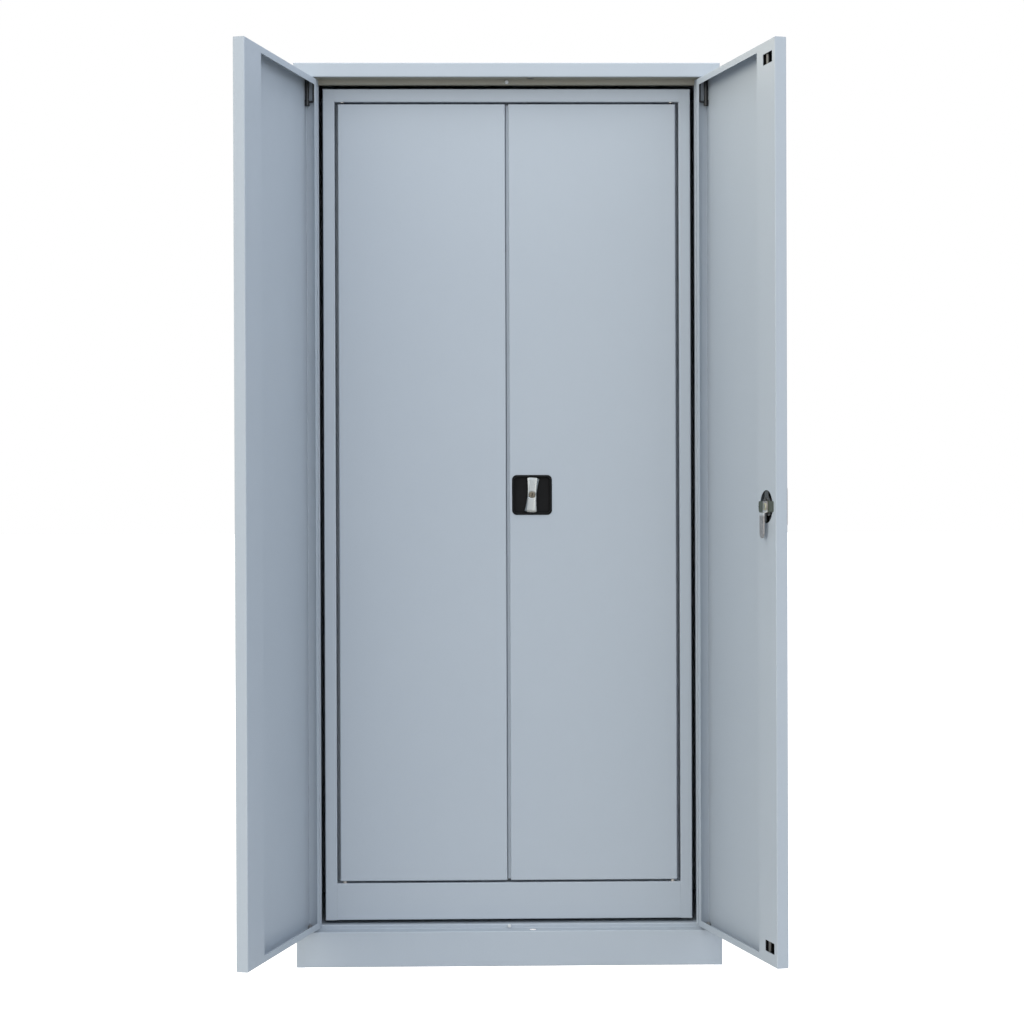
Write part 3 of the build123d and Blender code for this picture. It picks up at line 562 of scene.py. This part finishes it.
# %% Knob shape
waist, end, strip_half = 9.8 * MM, 13.6 * MM, 7.6 * MM
gentle_drop, steep_drop, push_reach = 1.0 * MM, 4.0 * MM, 9.0 * MM
hollow_depth, rim_radius, floor_left = 0.75 * MM, 1.1 * MM, 1.0 * MM
chamfer_drop, chamfer_length = 1.5 * MM, 5.0 * MM
seat_depth, seat_radius, seat_wall = 0.75 * MM, 7.2 * MM, 1.2 * MM
bore_radius, bore_wall = 4.6 * MM, 0.4 * MM


def bow_outline(reach, rows=120, columns=64):
    """Places x, z over the knob's front, and how far each is from the rim."""
    v = np.sin(np.linspace(-0.5, 0.5, rows) * np.pi)[:, None]
    s = np.sin(np.linspace(-0.5, 0.5, columns) * np.pi)[None, :]
    half = waist + (end - waist) * np.abs(v) ** 1.5
    x = half * s
    z = v * np.sqrt(reach ** 2 - x ** 2)
    return x, z, np.minimum(half - np.abs(x), reach * (1.0 - np.abs(v)) + 0 * x)


def bow_depth(x, z, edge, reach, thickness):
    """How far the front lies behind its foremost plane."""
    outside = np.clip((np.abs(x) - strip_half) / (end - strip_half), 0.0, 1.0)
    pushed = 0.5 + 0.5 * np.tanh(x * z / push_reach ** 2)
    slope = (gentle_drop + (steep_drop - gentle_drop) * pushed) * outside
    hollow = hollow_depth * np.clip(1.0 - (x / strip_half) ** 4, 0.0, 1.0)
    past = (np.abs(z) - (reach - chamfer_length)) / chamfer_length
    chamfer = chamfer_drop * np.clip(past, 0.0, 1.0)
    r = np.hypot(x, z)
    seat = seat_depth * (1.0 - ease((r - seat_radius) / seat_wall))
    bore = 2 * thickness * (1.0 - ease((r - bore_radius) / bore_wall))
    inset = rim_radius - np.clip(edge, 0.0, rim_radius)
    round_off = rim_radius - np.sqrt(rim_radius ** 2 - inset ** 2)
    return np.minimum(slope + hollow + chamfer + seat + bore + round_off,
                      thickness - floor_left)


print("waist", round(2 * waist / MM, 1), "mm, ends", round(2 * end / MM, 1), "mm")

# %% [markdown]
# The height map becomes a closed body: each row of points runs across the front and comes back
# along a flat rear, which makes a ring, and the first and last rings are capped.

# %% Knobs
def knob_points(reach, front, back):
    """Front and back of one knob as rings."""
    x, z, edge = bow_outline(reach)
    face = np.stack([x, front + bow_depth(x, z, edge, reach, back - front), z], axis=-1)
    rear = np.stack([x, back + 0 * x, z], axis=-1)[:, ::-1]
    return np.concatenate([face, rear], axis=1)


for lock in locks:
    place = lock_frame(lock)
    low, high = local_span(lock + "_handle_knob", place)
    points = turned(knob_points(high[2], low[1], high[1]), rest_turn(lock))
    settle(skin(lock + "_bow_knob", moved(points, place), ring=True), "chrome",
           lock + "_handle", lock + "_handle_knob")
print("knobs reach", round(high[2] / MM, 1), "mm from the spindle")

# %% [markdown]
# ## Key plugs
# The cylinder plug is a brass disc with a chamfered rim. A keyway cut with a boolean would leave long thin faces,
# so the face is a height map over a disc: y = depth inside the keyway, where |x| is under its half width and |z|
# under its reach, and 0 elsewhere. A point attribute keeps how far each point is sunk, for the shade that the
# finish paints into the keyway.

# %% Key plugs
keyway_half, keyway_reach, keyway_wall = 0.95 * MM, 4.2 * MM, 0.3 * MM
keyway_depth, plug_chamfer, keyway_shade_depth = 9.0 * MM, 0.6 * MM, 2.0 * MM


def plug_points(radius, front, back):
    """Rings from the middle of the face out to the rim, then back along the side."""
    x, z = polar(radius - plug_chamfer, 44, 96)
    sink = (ease((keyway_half - np.abs(x)) / keyway_wall)
            * ease((keyway_reach - np.abs(z)) / keyway_wall))
    face = np.stack([x, front + min(keyway_depth, 0.7 * (back - front)) * sink, z], axis=-1)
    side = lathe([(radius, front + plug_chamfer), (radius, back)], sides=96)
    return np.concatenate([face, side])


for lock in locks:
    place = lock_frame(lock)
    low, high = local_span(lock + "_key_plug", place)
    points = plug_points(high[2], low[1], high[1])
    # painted shade in the keyway: 0 at the face, full once a point lies 2 mm deep
    sunk = np.clip((points[:, :, 1] - low[1]) / keyway_shade_depth, 0.0, 1.0)
    sunk[-2:] = 0.0
    plug = skin(lock + "_plug_face", moved(turned(points, rest_turn(lock)), place), ring=True)
    plug.data.attributes.new("sunk", "FLOAT", "POINT").data.foreach_set("value", sunk.ravel())
    settle(plug, "lock_brass", lock + "_key", lock + "_key_plug")
print("plug radius", round(high[2] / MM, 1), "mm")

# %% [markdown]
# ## Cams
# A cam is a stamped strip that steps back just below the spindle. It is a section carried down a
# path: at a distance t from the tip, its half width is w(t) = sqrt(w0^2 - (w0 - t)^2), and w0
# past the round end. At the head it draws in a little on a quarter circle. Its middle follows a
# smooth step, and the cut edges are rolled over.

# %% Cam shape
strip_thick, edge_roll, ring_offset = 2.0 * MM, 0.4 * MM, 0.01 * MM
step_height, step_length = -10.3 * MM, 3.2 * MM
head_length, head_share = 2.0 * MM, 0.78


def cam_points(top, low, front, back, half, rows=110):
    """Rings round the strip's section, from its top end to its tip."""
    z = np.linspace(top - ring_offset, low + ring_offset, rows)
    drop = ease((step_height - z) / step_length)
    middle = front + strip_thick / 2 + drop * (back - front - strip_thick)
    tip = np.clip((z - low) / half, 0.0, 1.0)
    head = np.clip((top - z) / head_length, 0.0, 1.0)
    drawn_in = head_share + (1 - head_share) * np.sqrt(1 - (1 - head) ** 2)
    width = (half * np.sqrt(1 - (1 - tip) ** 2) * drawn_in)[:, None]
    angle = np.linspace(0, 2 * np.pi, 32, endpoint=False)
    side = np.sign(np.sin(angle)) * (np.abs(np.sin(angle)) > 1e-6)
    x = np.clip((width - edge_roll) * side, -width, width) + edge_roll * np.sin(angle)
    cover = (strip_thick / 2 - edge_roll) * np.sign(np.cos(angle)) + edge_roll * np.cos(angle)
    return np.stack([x, middle[:, None] + cover, z[:, None] + 0 * angle], axis=-1)


print("cam steps back from", round(step_height / MM, 1), "mm to",
      round((step_height - step_length) / MM, 1), "mm")

# %% [markdown]
# ## Cam nuts
# The nut that holds a cam is a hexagon, r(a) = f / cos(a) with a within 30 degrees of a flat,
# cut by a cone f c(y) that leaves six worn corners. The smaller of the two radii gives both the
# flats and the curved chamfers, which a hexagonal prism with a bevel would not.

# %% Nut shape
nut_chamfer, nut_bevel, hollow_sink = 0.35 * MM, 0.5 * MM, 0.4 * MM


def nut_points(flat, front, back):
    """Rings along the nut, from its foot to the hollow round the spindle."""
    angle = np.linspace(0, 2 * np.pi, 72, endpoint=False)
    hexagon = flat / np.cos(angle % (np.pi / 3) - np.pi / 6)
    # pairs of y and of the cone's radius over the hexagon's
    foot = [(front, 1.10), (front + nut_chamfer, 1.16), (back - nut_bevel, 1.16)]
    crown = [(back - 0.1 * MM, 1.02), (back, 0.98)]
    hollow = [(back - 0.05 * MM, 0.66), (back - hollow_sink, 0.60)]
    y, cone = np.array(foot + crown + hollow).T[:, :, None]
    radius = np.minimum(hexagon, flat * cone)
    return np.stack([radius * np.sin(angle), y + 0 * angle, radius * np.cos(angle)], axis=-1)


print("widest before its corners wear:", round(2 / np.sqrt(3), 3), "of its flats")

# %% [markdown]
# The cam and its nut turn with the knob, which may rest off upright. They could be made upright
# and turned as objects, but a finished piece keeps its place in its mesh, so the turn goes into
# the frame that their points are moved with.

# %% Cams and nuts
def upright_frame(lock):
    """A lock's frame, turned with its knob, so that the knob's parts stand upright in it."""
    matrix = np.eye(4)
    matrix[:3, :3] = turned(np.eye(3), rest_turn(lock)).T
    return lock_frame(lock) @ matrix


for lock in locks:
    own = upright_frame(lock)
    low, high = local_span(lock + "_latch_cam", own)
    cam = cam_points(high[2], low[2], low[1], high[1], high[0])
    settle(skin(lock + "_cam_strip", moved(cam, own), ring=True), "zinc_steel",
           lock + "_handle", lock + "_latch_cam", finish="cam_steel")
    low, high = local_span(lock + "_cam_nut", own)
    flat = min(high[0], high[2])
    nut = nut_points(flat, low[1], high[1])
    settle(skin(lock + "_cam_nut_worn", moved(nut, own), ring=True), "lock_brass",
           lock + "_handle", lock + "_cam_nut", finish="yellow_zinc")
print("nut", round(2 * flat / MM, 1), "mm over its flats")

# %% [markdown]
# ## Case screws
# Four pan heads sit on the diagonals round each spindle. A head is a height map over a disc,
# h(r) = H (1 - (r/R)^4), with a cross recess sunk into it where |x| or |z| is small.

# %% Case screws
screw_radius, head_height = 3.7 * MM, 2.4 * MM
recess_half, recess_wall, recess_depth = 0.75 * MM, 0.3 * MM, 1.1 * MM
recess_reach, recess_end = 2.3 * MM, 0.5 * MM


def screw_points(top, x0, z0):
    """Rings from a head's foot over its crown to the middle."""
    x, z = polar(screw_radius, 20, 48)
    r = np.hypot(x, z)
    sink = (ease((recess_half - np.minimum(np.abs(x), np.abs(z))) / recess_wall)
            * ease((recess_reach - r) / recess_end))
    base = top - head_height
    crown = base + head_height * (1 - (r / screw_radius) ** 4) - recess_depth * sink
    cap = np.stack([x0 + x, crown, z0 + z], axis=-1)
    foot = lathe([(screw_radius, base)], sides=48, at=(x0, z0))
    return np.concatenate([foot, cap[::-1]])


for lock in locks:
    place = lock_frame(lock)
    low, high = local_span(lock + "_lock_screws", place)
    reach = high[0] - screw_radius
    corners = [(x0, z0) for x0 in (-reach, reach) for z0 in (-reach, reach)]
    for number, (x0, z0) in enumerate(corners, start=1):
        points = moved(screw_points(high[1], x0, z0), place)
        settle(skin(f"{lock}_pan_head_{number}", points, ring=True), "zinc_steel",
               lock + "_right_door", lock + "_lock_screws")
print(number, "pan heads on each lock")

# %% [markdown]
# ## Buffers
# A stop buffer is a pale button: a flange, a waist and a domed face that the doors touch. It is
# a profile carried round the Y line. A stack of cylinders with bevels would do as well, but the
# profile keeps it one closed skin.

# %% Buffers
face_share, waist_share = 0.82, 0.80
flange, waist_foot, waist_head, face_bend = 1.6 * MM, 2.0 * MM, 3.0 * MM, 1.4 * MM
for number, button in enumerate(groups("door_buffers", axis=2), start=1):
    low, high = span(button)
    radius, front, back = (high[0] - low[0]) / 2, low[1], high[1]
    profile = rounded_end(face_share * radius, front, back - waist_head, face_bend)
    profile += [(waist_share * radius, back - waist_foot), (radius, back - flange),
                (radius, back)]
    points = lathe(profile, at=((low[0] + high[0]) / 2, (low[2] + high[2]) / 2))
    settle(skin(f"stop_button_{number}", points, ring=True), "buffer_rubber", "carcass",
           "door_buffers")
print(number, "buttons")

# %% [markdown]
# ## Floor
# The cabinet stands on a plain pale floor. More light could burn the floor out to white, but
# that would wash out the paint too, so the camera sees the floor as plain white and the light
# sees a pale matt surface.

# %% Floor
floor_half = 60.0
black, white = (0.0, 0.0, 0.0), (1.0, 1.0, 1.0)
floor = skin("studio_floor", np.array([
    [[x, y, 0.0] for x in (-floor_half, floor_half)] for y in (-floor_half, floor_half)
]))
floor_paint = Finish("pale_floor")
seen = floor_paint.add("ShaderNodeLightPath", {}, output="Is Camera Ray")
floor.data.materials.append(floor_paint.finish(
    Base_Color=(0.58, 0.57, 0.55), Roughness=0.9, Emission_Strength=1.0,
    Emission_Color=floor_paint.blend(seen, black, white),
))
print("floor", 2 * floor_half, "m wide")

# %% [markdown]
# ## Cove
# The room is a white cove whose walls glow. Each wall lights the half of the directions d on its
# own side: L(d) = F max(-d.y, 0) + G max(-d.x, 0) + H max(d.x, 0), for the front, the left and
# the right. Large area lamps could do the same, but they would show as bright squares in the
# chrome. The camera sees the cove as plain white too.

# %% Cove
front_tint, left_tint, right_tint = (1.36, 1.42, 1.51), (2.06, 1.95, 1.68), (0.86, 0.94, 1.07)
world = bpy.data.worlds.new("studio")
bpy.context.scene.world = world
cove = Recipe(world)
direction = cove.add("ShaderNodeTexCoord", {}, output="Generated")


def wall(facing, tint):
    """Light of one wall: its tint times the part of the direction that points at it."""
    towards = cove.along(direction, facing).at_least(0.0)
    return cove.add("ShaderNodeVectorMath", {"operation": "SCALE"}, tint, Scale=towards)


def both(first, second):
    """Light of two walls together."""
    return cove.add("ShaderNodeVectorMath", {"operation": "ADD"}, first, second)


sides = both(wall((-1, 0, 0), left_tint), wall((1, 0, 0), right_tint))
glow = both(wall((0, -1, 0), front_tint), sides)
seen = cove.add("ShaderNodeLightPath", {}, output="Is Camera Ray")
cove.feed(cove.tree.nodes["Background"].inputs["Color"], cove.blend(seen, glow, white))
bpy.context.scene.view_settings.view_transform = "Standard"
print("cove:", len(cove.tree.nodes), "nodes")

# %% [markdown]
# ## Softbox
# One overhead softbox lifts the top edges and the ledge over the plinth, which the walls alone
# leave flat. Its wide square keeps every shadow soft.

# %% Softbox
softbox = bpy.data.lights.new("overhead", "AREA")
softbox.shape, softbox.size, softbox.energy = "SQUARE", 2.4, 63.0
lamp = bpy.data.objects.new("overhead", softbox)
bpy.context.scene.collection.objects.link(lamp)
lamp_place, lamp_target = Vector((0.0, -0.9, 4.5)), Vector((0.0, -0.3, 1.0))
lamp.matrix_world = Matrix.LocRotScale(
    lamp_place, (lamp_target - lamp_place).to_track_quat("-Z", "Y"), None
)
print("softbox", softbox.energy, "W,", round(lamp_place.z, 1), "m up")

# %% [markdown]
# ## Camera
# The camera stands nearly five metres off, at half the cabinet's height, and looks almost square
# at it, as in a catalogue. Its axes are worked out from yaw, pitch and roll, and its focal
# length in pixels is turned into the lens of a square frame.

# %% Camera
camera_data = bpy.data.cameras.new("camera")
camera = bpy.data.objects.new("camera", camera_data)
bpy.context.scene.collection.objects.link(camera)
bpy.context.scene.camera = camera
focal_pixels, image_side = 2109.35, 1024
camera_data.sensor_width = 36.0
camera_data.lens = focal_pixels / image_side * camera_data.sensor_width
eye = (-0.07286, -4.76117, 1.00519)
yaw, pitch, roll = np.radians([-1.0175, -0.3027, 0.1938])
level = np.array([-np.sin(yaw), np.cos(yaw), 0.0])
right = np.array([np.cos(yaw), np.sin(yaw), 0.0])
zenith = np.array([0.0, 0.0, 1.0])
ahead = level * np.cos(pitch) + zenith * np.sin(pitch)
overhead = zenith * np.cos(pitch) - level * np.sin(pitch)
camera_axes = np.stack([
    right * np.cos(roll) - overhead * np.sin(roll),
    right * np.sin(roll) + overhead * np.cos(roll),
    -ahead,
], axis=1)
camera.matrix_world = Matrix.LocRotScale(eye, Matrix(camera_axes.tolist()), None)
print("lens", round(camera_data.lens, 1), "mm")

# %% [markdown]
